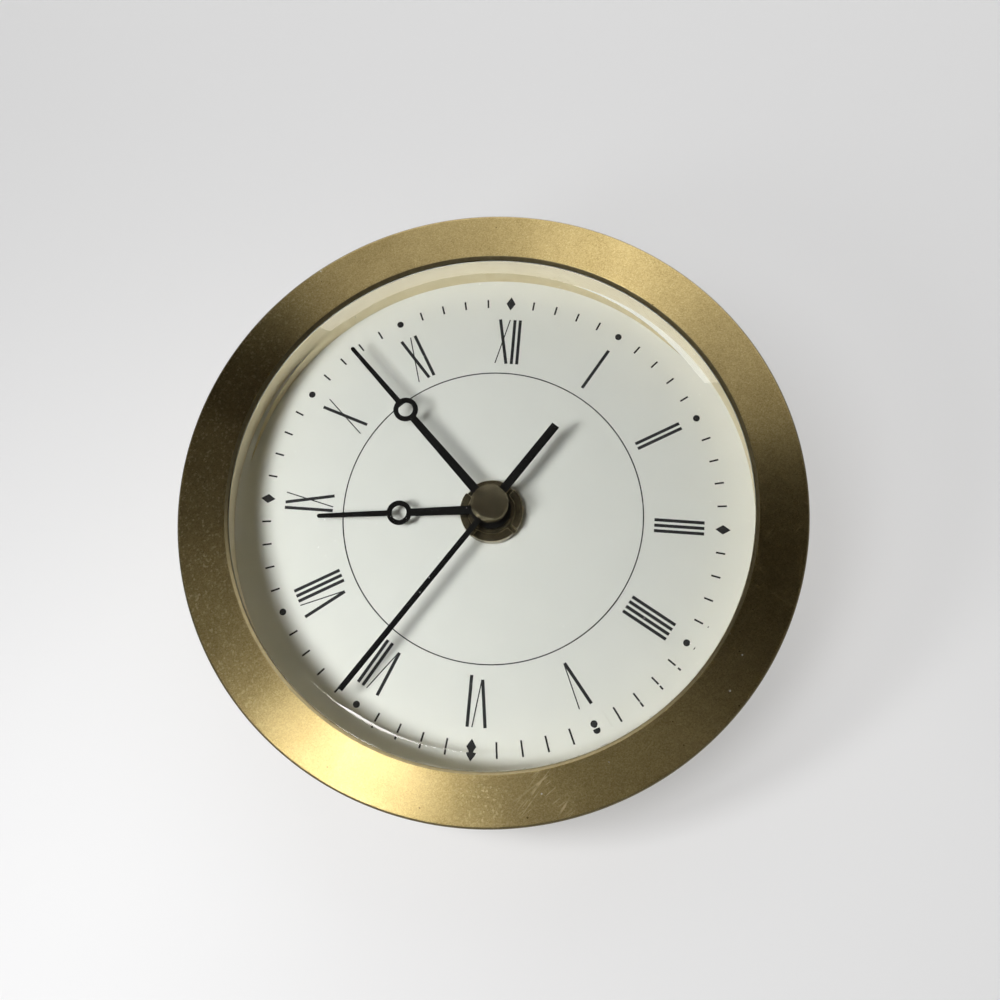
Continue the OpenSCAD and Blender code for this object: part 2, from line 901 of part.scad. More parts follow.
module third_wheel() {
    pinion_top = minute_wheel_z + wheel_t + tooth_past;
    color("white")
        in_clock()
            on_axis(third_at)
                difference() {
                    union() {
                        gear(third_n, third_mod, third_turn, third_wheel_z, third_wheel_z + wheel_t);
                        gear(third_pinion_n, minute_mod, third_turn, third_wheel_z + wheel_t, pinion_top);
                    }
                    rod(stud_r + run_clear, third_wheel_z - over, pinion_top + over);
                }
}

// Second wheel, its pinion and the arbor that runs through all the tubes
module second_wheel() {
    hub_r = 1;
    color("white")
        in_clock() {
            rod(arbor_r, arbor_low + screw_play, arbor_top);
            rod(hub_r, hub_low, second_wheel_z);
            gear(second_n, motor_mod, second_turn, second_wheel_z, second_wheel_z + wheel_t);
            gear(second_pinion_n, third_mod, second_turn,
                second_wheel_z + wheel_t, third_wheel_z + wheel_t + tooth_past);
        }
}

module transfer_wheel() {
    pinion_top = second_wheel_z + wheel_t + tooth_past;
    color("white")
        in_clock()
            on_axis(transfer_at)
                difference() {
                    union() {
                        gear(transfer_n, motor_mod, transfer_turn,
                            transfer_wheel_z, transfer_wheel_z + wheel_t);
                        gear(transfer_pinion_n, motor_mod, transfer_turn,
                            transfer_wheel_z + wheel_t, pinion_top);
                        rod(root_r(transfer_pinion_n, motor_mod), hub_low, transfer_wheel_z);
                    }
                    rod(pin_r + run_clear, hub_low - over, pinion_top + over);
                }
}

// Motor magnet on its pinion
module rotor() {
    magnet_z = stator_z - (magnet_t - stator_t) / 2;
    color("dimgray")
        in_clock()
            on_axis(rotor_at)
                difference() {
                    union() {
                        rod(magnet_r, magnet_z, magnet_z + magnet_t);
                        rod(root_r(rotor_pinion_n, motor_mod), hub_low, magnet_z);
                        gear(rotor_pinion_n, motor_mod, rotor_turn,
                            transfer_wheel_z - tooth_past, transfer_wheel_z + wheel_t + tooth_past);
                    }
                    rod(pin_r + run_clear, hub_low - over, magnet_z + magnet_t + over);
                }
}

// Flat iron loop with its two poles round the magnet
module stator() {
    color("silver")
        in_clock()
            translate([0, 0, stator_z])
                linear_extrude(stator_t)
                    difference() {
                        union() {
                            translate(rotor_at)
                                circle(pole_r);
                            translate([core_right - core_w, rotor_at[1] - core_w / 2])
                                square([core_w + pole_r, core_w]);
                            translate([core_left, arm_y])
                                square([rotor_at[0] - core_left, arm_w]);
                            translate([core_left, rotor_at[1] - core_w / 2])
                                square([arm_w, arm_y + arm_w - rotor_at[1] + core_w / 2]);
                        }
                        translate(rotor_at)
                            circle(magnet_r + magnet_gap);
                    }
}

module core_slab(x_low, x_high) {
    slab([x_low, rotor_at[1] - core_w / 2], [x_high, rotor_at[1] + core_w / 2], core_z, core_z + core_t);
}

module coil_core() {
    color("silver")
        in_clock()
            core_slab(core_left, core_right);
}

module along_core(r, x_low, x_high) {
    translate([x_low, rotor_at[1], core_z + core_t / 2])
        rotate([0, 90, 0])
            cylinder(r = r, h = x_high - x_low);
}

module coil_bobbin() {
    color("ivory")
        in_clock()
            difference() {
                union() {
                    along_core(coil_flange_r, coil_left, coil_left + coil_flange_t);
                    along_core(sleeve_r, coil_left, coil_right);
                    along_core(coil_flange_r, coil_right - coil_flange_t, coil_right);
                }
                core_slab(coil_left - over, coil_right + over);
            }
}

module coil_winding() {
    color("chocolate")
        in_clock()
            difference() {
                along_core(coil_r, coil_left + coil_flange_t, coil_right - coil_flange_t);
                along_core(sleeve_r, coil_left, coil_right);
            }
}

// Knob behind the movement, on the arbor that turns the hand gearing
module setting_knob() {
    grips = 24;
    grip_w = 0.8;
    gap = 0.6;
    knob_top = back_z - gap;
    color("whitesmoke")
        in_clock()
            on_axis(setting_axis) {
                rod(setting_arbor_r, knob_top, motion_wheel_z + wheel_t + tooth_past);
                gear(setting_n, motion_mod, setting_turn,
                    motion_wheel_z - tooth_past, motion_wheel_z + wheel_t + tooth_past);
                difference() {
                    rod(knob_d / 2, knob_top - knob_h, knob_top);
                    for (i = [0:grips - 1])
                        rotate([0, 0, i * 360 / grips])
                            translate([knob_d / 2, 0, knob_top - knob_h - over])
                                rotate([0, 0, 45])
                                    translate([-grip_w / 2, -grip_w / 2])
                                        cube([grip_w, grip_w, knob_h + 2 * over]);
                }
            }
}

module circuit_board() {
    color("darkgreen")
        in_clock()
            slab(board_low, board_high, board_z, board_top);
}

module quartz_crystal() {
    crystal_r = 1;
    crystal_l = 6;
    edge = 1;
    color("silver")
        in_clock()
            on_axis(board_high - [crystal_l + edge, crystal_r + edge])
                translate([0, 0, board_top + crystal_r])
                    rotate([0, 90, 0])
                        cylinder(r = crystal_r, h = crystal_l);
}

module controller_chip() {
    chip = 4;
    chip_t = 0.9;
    edge = 2;
    low = board_low + [edge, edge];
    color("black")
        in_clock()
            slab(low, low + [chip, chip], board_top, board_top + chip_t);
}

module along_cell(r, x_low, x_high) {
    translate([x_low, cell_y, cell_z])
        rotate([0, 90, 0])
            cylinder(r = r, h = x_high - x_low);
}

module battery() {
    color("slategray")
        in_clock() {
            along_cell(cell_r, can_start, can_end);
            along_cell(cell_nub_d / 2, can_end, nub_end);
        }
}

module contact_leaf(x_low) {
    translate([x_low, cell_y - leaf_w / 2, cell_z - leaf_l / 2])
        cube([leaf_t, leaf_w, leaf_l]);
}

module contact_plus() {
    color("silver")
        in_clock()
            contact_leaf(nub_end);
}

// Leaf with a coned spring seat that presses on the can's flat end
module contact_minus() {
    spring_r = spring_d / 2;
    color("silver")
        in_clock() {
            contact_leaf(-cell_x);
            translate([leaf_t - cell_x, cell_y, cell_z])
                rotate([0, 90, 0])
                    cylinder(r1 = spring_r, r2 = spring_r / 2, h = spring_l);
        }
}

bezel();
lens();
dial_ring();
dial();
drum_case();
base_plate();
base_screws();
rubber_feet();
fixing_nut();
fixing_washer();
rubber_washer();
centre_bush();
hour_hand();
minute_hand();
second_hand();
second_cap();
movement_front();
movement_plate();
movement_back();
movement_screws();
hour_wheel();
cannon_pinion();
motion_wheel();
minute_wheel();
third_wheel();
second_wheel();
transfer_wheel();
rotor();
stator();
coil_core();
coil_bobbin();
coil_winding();
setting_knob();
circuit_board();
quartz_crystal();
controller_chip();
battery();
contact_plus();
contact_minus();
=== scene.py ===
import bpy
import json
import math
from mathutils import Matrix, Vector


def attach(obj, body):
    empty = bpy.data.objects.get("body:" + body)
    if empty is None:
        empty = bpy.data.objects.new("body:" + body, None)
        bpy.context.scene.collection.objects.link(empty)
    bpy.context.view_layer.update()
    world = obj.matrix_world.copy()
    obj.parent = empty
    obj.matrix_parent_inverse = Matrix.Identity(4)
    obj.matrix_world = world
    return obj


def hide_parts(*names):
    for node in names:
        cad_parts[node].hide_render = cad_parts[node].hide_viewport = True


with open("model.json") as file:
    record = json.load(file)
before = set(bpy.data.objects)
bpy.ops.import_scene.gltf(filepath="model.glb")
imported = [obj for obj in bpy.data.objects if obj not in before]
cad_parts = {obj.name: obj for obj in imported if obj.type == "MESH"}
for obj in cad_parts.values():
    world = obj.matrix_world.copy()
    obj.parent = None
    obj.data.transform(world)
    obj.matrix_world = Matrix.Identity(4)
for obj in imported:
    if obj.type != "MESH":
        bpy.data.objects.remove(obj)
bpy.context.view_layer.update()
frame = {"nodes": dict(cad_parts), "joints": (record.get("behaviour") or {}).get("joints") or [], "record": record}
nodes = frame["nodes"]
mm = 0.001
bpy.context.scene.view_settings.view_transform = "Standard"

# the spindle joint gives the dial's centre and how far the face leans back
spindle = next(joint for joint in frame["joints"] if joint["name"] == "second_hand_spin")
dialCentre = Vector(spindle["pos_m"])
lean = math.atan2(spindle["axis"][1], -spindle["axis"][2])
clockFrame = Matrix.Translation(dialCentre) @ Matrix.Rotation(lean, 4, "X")
clockAxis = clockFrame.to_3x3() @ Vector((0, 0, 1))
print("frame loaded:", len(nodes), "nodes, face leans", round(math.degrees(lean), 1), "degrees")


# small modelling helpers, with their limits in mm and degrees; in every function s is short for settings

meshSettings = {"poleRing": 0.05, "poleReach": 0.06, "poleLevel": 0.01,  # the tiny ring that becomes a pole
                "turnedGap": 0.001, "copiedGap": 0.0005, "flatAngle": 0.5}


def clearSelection():
    active = bpy.context.view_layer.objects.active
    if active and active.mode != "OBJECT":
        bpy.ops.object.mode_set(mode="OBJECT")
    bpy.ops.object.select_all(action="DESELECT")


def pickOnly(piece):
    clearSelection()
    piece.select_set(True)
    bpy.context.view_layer.objects.active = piece


def startRing(name, radius, height, steps):
    clearSelection()
    bpy.ops.mesh.primitive_circle_add(vertices=steps, radius=radius * mm, location=(0, 0, height * mm))
    bpy.ops.object.transform_apply(location=True, rotation=True, scale=True)
    piece = bpy.context.object
    piece.name = name
    piece.data.name = name
    return piece


def closePole(piece, height):
    # the tiny ring left on the axis at this height is drawn into one point
    bpy.ops.mesh.select_all(action="DESELECT")
    bpy.ops.object.mode_set(mode="OBJECT")
    for vert in piece.data.vertices:
        near = math.hypot(vert.co.x, vert.co.y) < meshSettings["poleReach"] * mm
        vert.select = near and abs(vert.co.z - height * mm) < meshSettings["poleLevel"] * mm
    bpy.ops.object.mode_set(mode="EDIT")
    bpy.ops.mesh.merge(type="CENTER")


def turnRings(name, profile, steps, poles=()):
    # a turned piece: one ring is drawn out along the profile, as (radius, height) in mm
    piece = startRing(name, profile[0][0], profile[0][1], steps)
    bpy.ops.object.mode_set(mode="EDIT")
    bpy.ops.mesh.select_all(action="SELECT")
    lastRadius, lastHeight = profile[0]
    for radius, height in profile[1:]:
        rise = (0, 0, (height - lastHeight) * mm)
        bpy.ops.mesh.extrude_edges_move(TRANSFORM_OT_translate={"value": rise})
        spread = radius / lastRadius
        bpy.ops.transform.resize(value=(spread, spread, 1), center_override=(0, 0, height * mm))
        lastRadius, lastHeight = radius, height
    for height in poles:
        closePole(piece, height)
    bpy.ops.mesh.select_all(action="SELECT")
    bpy.ops.mesh.remove_doubles(threshold=meshSettings["turnedGap"] * mm)
    bpy.ops.mesh.normals_make_consistent(inside=False)
    bpy.ops.object.mode_set(mode="OBJECT")
    return piece


def softenEdges(piece, width, segments=2, angle=30):
    pickOnly(piece)
    bevel = piece.modifiers.new("softEdge", "BEVEL")
    bevel.width = width * mm
    bevel.segments = segments
    bevel.limit_method = "ANGLE"
    bevel.angle_limit = math.radians(angle)
    bevel.miter_outer = "MITER_ARC"
    bpy.ops.object.modifier_apply(modifier=bevel.name)


def seatOnClock(piece):
    # from the dial's own axes into the row frame, with the place kept in the mesh
    pickOnly(piece)
    piece.matrix_world = clockFrame
    bpy.ops.object.transform_apply(location=True, rotation=True, scale=True)


def copyNode(nodeName, pieceName):
    clearSelection()
    piece = bpy.data.objects.new(pieceName, nodes[nodeName].data.copy())
    bpy.context.scene.collection.objects.link(piece)
    piece.data.materials.clear()
    pickOnly(piece)
    bpy.ops.mesh.customdata_custom_splitnormals_clear()
    bpy.ops.object.mode_set(mode="EDIT")
    bpy.ops.mesh.select_all(action="SELECT")
    bpy.ops.mesh.remove_doubles(threshold=meshSettings["copiedGap"] * mm)
    bpy.ops.mesh.dissolve_limited(angle_limit=math.radians(meshSettings["flatAngle"]))
    bpy.ops.object.mode_set(mode="OBJECT")
    return piece


def finishPiece(piece, body, material, replaced=None, angle=32):
    pickOnly(piece)
    bpy.ops.object.shade_smooth_by_angle(angle=math.radians(angle))
    level = piece.modifiers.new("flatFaces", "WEIGHTED_NORMAL")
    level.keep_sharp = True
    bpy.ops.object.modifier_apply(modifier=level.name)
    piece.data.materials.clear()
    piece.data.materials.append(material)
    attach(piece, body)
    if replaced:
        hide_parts(replaced)


# shared surface effects

def newGroup(name, numbers, outputs):
    # every effect reads a place in mm and its own numbers, and puts out masks
    group = bpy.data.node_groups.new(name, "ShaderNodeTree")
    group.interface.new_socket(name="Vector", in_out="INPUT", socket_type="NodeSocketVector")
    for label, value in numbers.items():
        socket = group.interface.new_socket(name=label, in_out="INPUT", socket_type="NodeSocketFloat")
        socket.default_value = value
    for label in outputs:
        group.interface.new_socket(name=label, in_out="OUTPUT", socket_type="NodeSocketFloat")
    start = group.nodes.new("NodeGroupInput")
    end = group.nodes.new("NodeGroupOutput")
    return group, start, end


def addNode(tree, kind, inputs=None, **settings):
    node = tree.nodes.new(kind)
    for key, value in settings.items():
        setattr(node, key, value)
    for key, value in (inputs or {}).items():
        node.inputs[key].default_value = value
    return node


def addTexture(group, vector, scale, kind, **inputs):
    texture = addNode(group, kind, inputs)
    group.links.new(vector, texture.inputs["Vector"])
    group.links.new(scale, texture.inputs["Scale"])
    return texture


def addMath(tree, operation, first, second):
    node = addNode(tree, "ShaderNodeMath", operation=operation)
    for socket, value in zip(node.inputs, (first, second)):
        if isinstance(value, (int, float)):
            socket.default_value = value
        else:
            tree.links.new(value, socket)
    return node.outputs[0]


def addVector(tree, operation, place, values):
    node = addNode(tree, "ShaderNodeVectorMath", {1: values}, operation=operation)
    tree.links.new(place, node.inputs[0])
    return node


def addSpread(tree, value, low, high, toLow=0.0, toHigh=1.0):
    node = addNode(tree, "ShaderNodeMapRange", {"From Min": low, "From Max": high, "To Min": toLow,
                                                "To Max": toHigh})
    tree.links.new(value, node.inputs["Value"])
    return node.outputs["Result"]


def addBlend(tree, factor, first, second):
    node = addNode(tree, "ShaderNodeMix", data_type="RGBA")
    tree.links.new(factor, node.inputs[0])
    for socket, value in ((node.inputs[6], first), (node.inputs[7], second)):
        if isinstance(value, tuple):
            socket.default_value = (*value, 1)
        else:
            tree.links.new(value, socket)
    return node.outputs[2]


speckSettings = {"cloud": {"Detail": 3.0, "Roughness": 0.7}, "cellShare": 0.45, "cloudShare": 0.55,
                 "sparkleFrom": 0.8}


def makeSpeckGrain():
    # fine crystalline speckle of blasted or sprayed metal, Scale in grains per mm
    s = speckSettings
    group, start, end = newGroup("speckGrain", {"Scale": 4.0}, ["Grain", "Sparkle"])
    feed = (group, start.outputs["Vector"], start.outputs["Scale"])
    cells = addTexture(*feed, "ShaderNodeTexVoronoi")
    cloud = addTexture(*feed, "ShaderNodeTexNoise", **s["cloud"])
    tone = addNode(group, "ShaderNodeSeparateColor")
    group.links.new(cells.outputs["Color"], tone.inputs[0])
    mixed = addMath(group, "ADD", addMath(group, "MULTIPLY", tone.outputs[0], s["cellShare"]),
                    addMath(group, "MULTIPLY", cloud.outputs[0], s["cloudShare"]))
    group.links.new(mixed, end.inputs["Grain"])
    group.links.new(addSpread(group, tone.outputs[1], s["sparkleFrom"], 1.0), end.inputs["Sparkle"])
    return group


scratchSettings = {"draw": (0.035, 1.0, 0.2), "line": {"Detail": 1.0, "Roughness": 0.4, "Distortion": 0.25},
                   "lineEdge": 0.04, "patch": {"Detail": 2.0}, "patchFrom": 0.46, "patchTo": 0.60}


def makeHairScratches():
    # thin handling scratches lying mostly one way, in broken patches; a lower Cut leaves more of them
    s = scratchSettings
    group, start, end = newGroup("hairScratches", {"Turn": 0.6, "Fineness": 5.0, "Patch": 0.06, "Cut": 0.70},
                                 ["Mask"])
    place = start.outputs["Vector"]
    turned = addNode(group, "ShaderNodeVectorRotate", rotation_type="Z_AXIS")
    group.links.new(place, turned.inputs["Vector"])
    group.links.new(start.outputs["Turn"], turned.inputs["Angle"])
    drawn = addVector(group, "MULTIPLY", turned.outputs[0], s["draw"])
    lines = addTexture(group, drawn.outputs[0], start.outputs["Fineness"], "ShaderNodeTexNoise", **s["line"])
    patches = addTexture(group, place, start.outputs["Patch"], "ShaderNodeTexNoise", **s["patch"])
    over = addMath(group, "SUBTRACT", lines.outputs[0], start.outputs["Cut"])
    thin = addSpread(group, over, 0.0, s["lineEdge"])
    where = addSpread(group, patches.outputs[0], s["patchFrom"], s["patchTo"])
    group.links.new(addMath(group, "MULTIPLY", thin, where), end.inputs["Mask"])
    return group


def makeDustSpecks():
    # scattered specks of dust or tiny pits, Share is how many of the cells hold one
    group, start, end = newGroup("dustSpecks", {"Scale": 0.5, "Size": 0.12, "Share": 0.3}, ["Mask"])
    cells = addTexture(group, start.outputs["Vector"], start.outputs["Scale"], "ShaderNodeTexVoronoi")
    tone = addNode(group, "ShaderNodeSeparateColor")
    group.links.new(cells.outputs["Color"], tone.inputs[0])
    reach = addMath(group, "MULTIPLY", start.outputs["Size"], tone.outputs[1])
    inside = addMath(group, "LESS_THAN", cells.outputs["Distance"], reach)
    held = addMath(group, "LESS_THAN", tone.outputs[0], start.outputs["Share"])
    group.links.new(addMath(group, "MULTIPLY", inside, held), end.inputs["Mask"])
    return group


blotchSettings = {"cloud": {"Detail": 5.0, "Roughness": 0.6, "Distortion": 0.4}, "low": 0.32, "high": 0.68}


def makeSoftBlotch():
    # slow uneven tone, as of age, handling and uneven spraying
    s = blotchSettings
    group, start, end = newGroup("softBlotch", {"Scale": 0.1}, ["Mask"])
    cloud = addTexture(group, start.outputs["Vector"], start.outputs["Scale"], "ShaderNodeTexNoise",
                       **s["cloud"])
    group.links.new(addSpread(group, cloud.outputs[0], s["low"], s["high"]), end.inputs["Mask"])
    return group


speckGrain = makeSpeckGrain()
hairScratches = makeHairScratches()
dustSpecks = makeDustSpecks()
softBlotch = makeSoftBlotch()
print("surface effects ready")


# what the finishes share

def newFinish(name):
    # a bare material with the dial's own coordinates in mm
    material = bpy.data.materials.new(name)
    material.use_nodes = True
    tree = material.node_tree
    tree.nodes.clear()
    output = tree.nodes.new("ShaderNodeOutputMaterial")
    shader = tree.nodes.new("ShaderNodeBsdfPrincipled")
    tree.links.new(shader.outputs[0], output.inputs["Surface"])
    coords = tree.nodes.new("ShaderNodeTexCoord")
    place = addNode(tree, "ShaderNodeMapping", {"Location": dialCentre, "Rotation": (lean, 0, 0),
                                                "Scale": (mm, mm, mm)}, vector_type="TEXTURE")
    tree.links.new(coords.outputs["Object"], place.inputs["Vector"])
    return material, tree, shader, place.outputs[0]


def useGroup(tree, group, vector, **values):
    node = addNode(tree, "ShaderNodeGroup", node_tree=group)
    tree.links.new(vector, node.inputs["Vector"])
    for key, value in values.items():
        node.inputs[key].default_value = value
    return node


def addBump(tree, shader, height, distance):
    bump = addNode(tree, "ShaderNodeBump", {"Strength": 1.0, "Distance": distance * mm})
    tree.links.new(height, bump.inputs["Height"])
    tree.links.new(bump.outputs[0], shader.inputs["Normal"])


def flatten(tree, place):
    # the place as seen along the dial's axis
    return addVector(tree, "MULTIPLY", place, (1, 1, 0)).outputs[0]


def addNear(tree, place, point, core, edge):
    # 1 within core mm of the point, fading to 0 at edge
    away = addVector(tree, "DISTANCE", place, point)
    return addSpread(tree, away.outputs["Value"], core, edge, 1.0, 0.0)


def layOver(tree, colour, mask, strength, over):
    return addBlend(tree, addMath(tree, "MULTIPLY", mask, strength), colour, over)


grainSettings = {"toneFrom": 0.25, "toneTo": 0.75, "roughFrom": 0.2, "roughTo": 0.8}


def addMottle(tree, place, grain, s):
    # slow blotches with the grain over them
    blotch = useGroup(tree, softBlotch, place, Scale=s["blotch"])
    slow = addMath(tree, "MULTIPLY", blotch.outputs["Mask"], s["blotchShare"])
    fine = addSpread(tree, grain.outputs["Grain"], grainSettings["toneFrom"], grainSettings["toneTo"],
                     0.0, s["grainShare"])
    return addMath(tree, "ADD", slow, fine)


def addRough(tree, grain, rough, s):
    # roughness that follows the grain, from a little smoother to a little rougher
    return addSpread(tree, grain.outputs["Grain"], grainSettings["roughFrom"], grainSettings["roughTo"],
                     rough - s["smoother"], rough + s["rougher"])


def addScratches(tree, place, lots):
    mask = 0.0
    for values in lots:
        lot = useGroup(tree, hairScratches, place, **values)
        mask = addMath(tree, "MAXIMUM", mask, lot.outputs["Mask"])
    return mask


def brushAcross(tree, shader, flat):
    # turning marks run round the axis, so the gloss is drawn out along the radius
    back = addNode(tree, "ShaderNodeVectorRotate", {"Angle": lean}, rotation_type="X_AXIS")
    tree.links.new(flat, back.inputs["Vector"])
    world = addNode(tree, "ShaderNodeVectorTransform", vector_type="VECTOR", convert_from="OBJECT",
                    convert_to="WORLD")
    tree.links.new(back.outputs[0], world.inputs[0])
    tree.links.new(world.outputs[0], shader.inputs["Tangent"])


def brushAlong(tree, shader):
    # the drum's gloss is drawn out along the axis
    lengthwise = addNode(tree, "ShaderNodeCombineXYZ", dict(enumerate(clockAxis)))
    tree.links.new(lengthwise.outputs[0], shader.inputs["Tangent"])


# satin brass of the bezel and drum, with its wear

brassSettings = {"deep": (0.27, 0.20, 0.076), "light": (0.47, 0.365, 0.166), "scratchAndSparkle": (0.70, 0.58, 0.33),
                 "pit": (0.08, 0.05, 0.015), "dust": (0.62, 0.58, 0.48), "draw": 1.0,
                 "rough": 0.34, "smoother": 0.04, "rougher": 0.05, "markRough": 0.22,
                 "grain": 5.5, "grainShare": 0.7, "grainDepth": 0.011, "markDepth": 0.25, "sparkle": 0.2,
                 "blotch": 0.12, "blotchShare": 0.3,
                 "fine": [{"Turn": 0.5, "Fineness": 7.0, "Patch": 0.05},
                          {"Turn": -0.9, "Fineness": 6.0, "Patch": 0.04}], "fineShow": 0.3,
                 "fleck": 3.2, "fleckShow": 0.75,
                 "leftSide": (-46.0, -28.0, 0.9, 0.06),  # from x, to x, and the share of flecks at each
                 "bloom": ((3.6, -48.0, 0.0), 1.0, 6.0),  # middle, full within, gone beyond
                 "rub": ((13.5, -46.6, 0.0), 2.0, 6.5), "rubShow": 0.9,
                 "rubLines": [{"Turn": -0.80, "Fineness": 2.2, "Patch": 0.3, "Cut": 0.63},
                              {"Turn": -1.0, "Fineness": 3.0, "Patch": 0.3, "Cut": 0.63},
                              {"Turn": -0.72, "Fineness": 2.6, "Patch": 0.3, "Cut": 0.63}],
                 "pits": {"Scale": 0.6, "Size": 0.1, "Share": 0.25}, "pitShow": 0.8,
                 "dusting": {"Scale": 0.5, "Size": 0.085, "Share": 0.3}, "dustMetal": 0.2}


def makeSatinBrass(name, alongAxis=False):
    s = brassSettings
    material, tree, shader, place = newFinish(name)
    flat = flatten(tree, place)
    grain = useGroup(tree, speckGrain, place, Scale=s["grain"])
    tone = addBlend(tree, addMottle(tree, place, grain, s), s["deep"], s["light"])
    # the brightest grains are painted lighter: painted sparkle standing for the glint of their facets
    tone = layOver(tree, tone, grain.outputs["Sparkle"], s["sparkle"], s["scratchAndSparkle"])
    marks = addScratches(tree, place, s["fine"])
    tone = layOver(tree, tone, marks, s["fineShow"], s["scratchAndSparkle"])
    # light flecks in a bloom near the ring's foot, and on its left side, where they are painted sparkle of the
    # light from the left
    flecks = useGroup(tree, speckGrain, place, Scale=s["fleck"])
    sides = addNode(tree, "ShaderNodeSeparateXYZ")
    tree.links.new(flat, sides.inputs[0])
    fleckMask = addMath(tree, "MAXIMUM", addNear(tree, flat, *s["bloom"]),
                   addSpread(tree, sides.outputs["X"], *s["leftSide"]))
    fleckMask = addMath(tree, "MULTIPLY", fleckMask, flecks.outputs["Sparkle"])
    tone = layOver(tree, tone, fleckMask, s["fleckShow"], s["scratchAndSparkle"])
    # one rubbed patch beside it, full of close scratches
    rubbed = addScratches(tree, place, s["rubLines"])
    rubbed = addMath(tree, "MULTIPLY", rubbed, addNear(tree, flat, *s["rub"]))
    tone = layOver(tree, tone, rubbed, s["rubShow"], s["scratchAndSparkle"])
    marks = addMath(tree, "MAXIMUM", marks, rubbed)
    pits = useGroup(tree, dustSpecks, place, **s["pits"])
    tone = layOver(tree, tone, pits.outputs["Mask"], s["pitShow"], s["pit"])
    # a few grains of dust, which are not metal
    dust = useGroup(tree, dustSpecks, place, **s["dusting"]).outputs["Mask"]
    tone = addBlend(tree, dust, tone, s["dust"])
    tree.links.new(addSpread(tree, dust, 0.0, 1.0, 1.0, s["dustMetal"]), shader.inputs["Metallic"])
    tree.links.new(tone, shader.inputs["Base Color"])
    rough = addRough(tree, grain, s["rough"], s)
    rough = addMath(tree, "ADD", rough, addMath(tree, "MULTIPLY", marks, s["markRough"]))
    tree.links.new(rough, shader.inputs["Roughness"])
    shader.inputs["Anisotropic"].default_value = s["draw"]
    if alongAxis:
        brushAlong(tree, shader)
    else:
        brushAcross(tree, shader, flat)
    cuts = addMath(tree, "MULTIPLY", marks, s["markDepth"])
    addBump(tree, shader, addMath(tree, "SUBTRACT", grain.outputs["Grain"], cuts), s["grainDepth"])
    return material


# small turned brass: worn smooth, finely mottled and darkened in places

turnedSettings = {"grain": 14.0, "grainShare": 0.4, "grainDepth": 0.0005, "blotch": 0.9, "blotchShare": 0.6,
                  "pits": {"Scale": 2.2, "Size": 0.2, "Share": 0.25}, "pitShow": 0.6,
                  "pit": (0.12, 0.09, 0.04), "smoother": 0.02, "rougher": 0.03}


def makeTurnedBrass(name, tone, shade, rough):
    s = turnedSettings
    material, tree, shader, place = newFinish(name)
    grain = useGroup(tree, speckGrain, place, Scale=s["grain"])
    pits = useGroup(tree, dustSpecks, place, **s["pits"])
    colour = addBlend(tree, addMottle(tree, place, grain, s), shade, tone)
    colour = layOver(tree, colour, pits.outputs["Mask"], s["pitShow"], s["pit"])
    tree.links.new(colour, shader.inputs["Base Color"])
    tree.links.new(addRough(tree, grain, rough, s), shader.inputs["Roughness"])
    shader.inputs["Metallic"].default_value = 1.0
    addBump(tree, shader, grain.outputs["Grain"], s["grainDepth"])
    return material


# sprayed or moulded surfaces: grain, slow tone, a few scuffs and a little dust

paintSettings = {"blotch": 0.15, "specks": {"Scale": 0.9, "Size": 0.1}, "speckShow": 0.5,
                 "scuffs": {"Turn": 0.9, "Fineness": 3.0, "Patch": 0.08}, "scuffShow": 0.12,
                 "smoother": 0.06, "rougher": 0.08}


def makePaint(name, tone, shade, rough, grain, depth, dust, dustTone=(0.5, 0.5, 0.48), gloss=0.5):
    s = paintSettings
    material, tree, shader, place = newFinish(name)
    speckle = useGroup(tree, speckGrain, place, Scale=grain)
    blotch = useGroup(tree, softBlotch, place, Scale=s["blotch"])
    specks = useGroup(tree, dustSpecks, place, Share=dust, **s["specks"])
    scuffs = useGroup(tree, hairScratches, place, **s["scuffs"])
    colour = addBlend(tree, blotch.outputs["Mask"], shade, tone)
    colour = layOver(tree, colour, scuffs.outputs["Mask"], s["scuffShow"], dustTone)
    colour = layOver(tree, colour, specks.outputs["Mask"], s["speckShow"], dustTone)
    tree.links.new(colour, shader.inputs["Base Color"])
    tree.links.new(addRough(tree, speckle, rough, s), shader.inputs["Roughness"])
    shader.inputs["Specular IOR Level"].default_value = gloss
    addBump(tree, shader, speckle.outputs["Grain"], depth)
    return material


# plain metal: slow tone, with a faint grain and handling marks in the gloss

metalSettings = {"grain": 7.0, "grainDepth": 0.003, "blotch": 0.4, "smoother": 0.05, "rougher": 0.07,
                 "marks": {"Turn": 0.2, "Fineness": 9.0, "Patch": 0.3}, "markRough": 0.15}


def makePlainMetal(name, tone, shade, rough, metallic=1.0):
    s = metalSettings
    material, tree, shader, place = newFinish(name)
    grain = useGroup(tree, speckGrain, place, Scale=s["grain"])
    blotch = useGroup(tree, softBlotch, place, Scale=s["blotch"])
    marks = useGroup(tree, hairScratches, place, **s["marks"])
    tree.links.new(addBlend(tree, blotch.outputs["Mask"], shade, tone), shader.inputs["Base Color"])
    wear = addMath(tree, "MULTIPLY", marks.outputs["Mask"], s["markRough"])
    tree.links.new(addMath(tree, "ADD", wear, addRough(tree, grain, rough, s)), shader.inputs["Roughness"])
    shader.inputs["Metallic"].default_value = metallic
    addBump(tree, shader, grain.outputs["Grain"], s["grainDepth"])
    return material


# lens glass, with the lens's own sizes

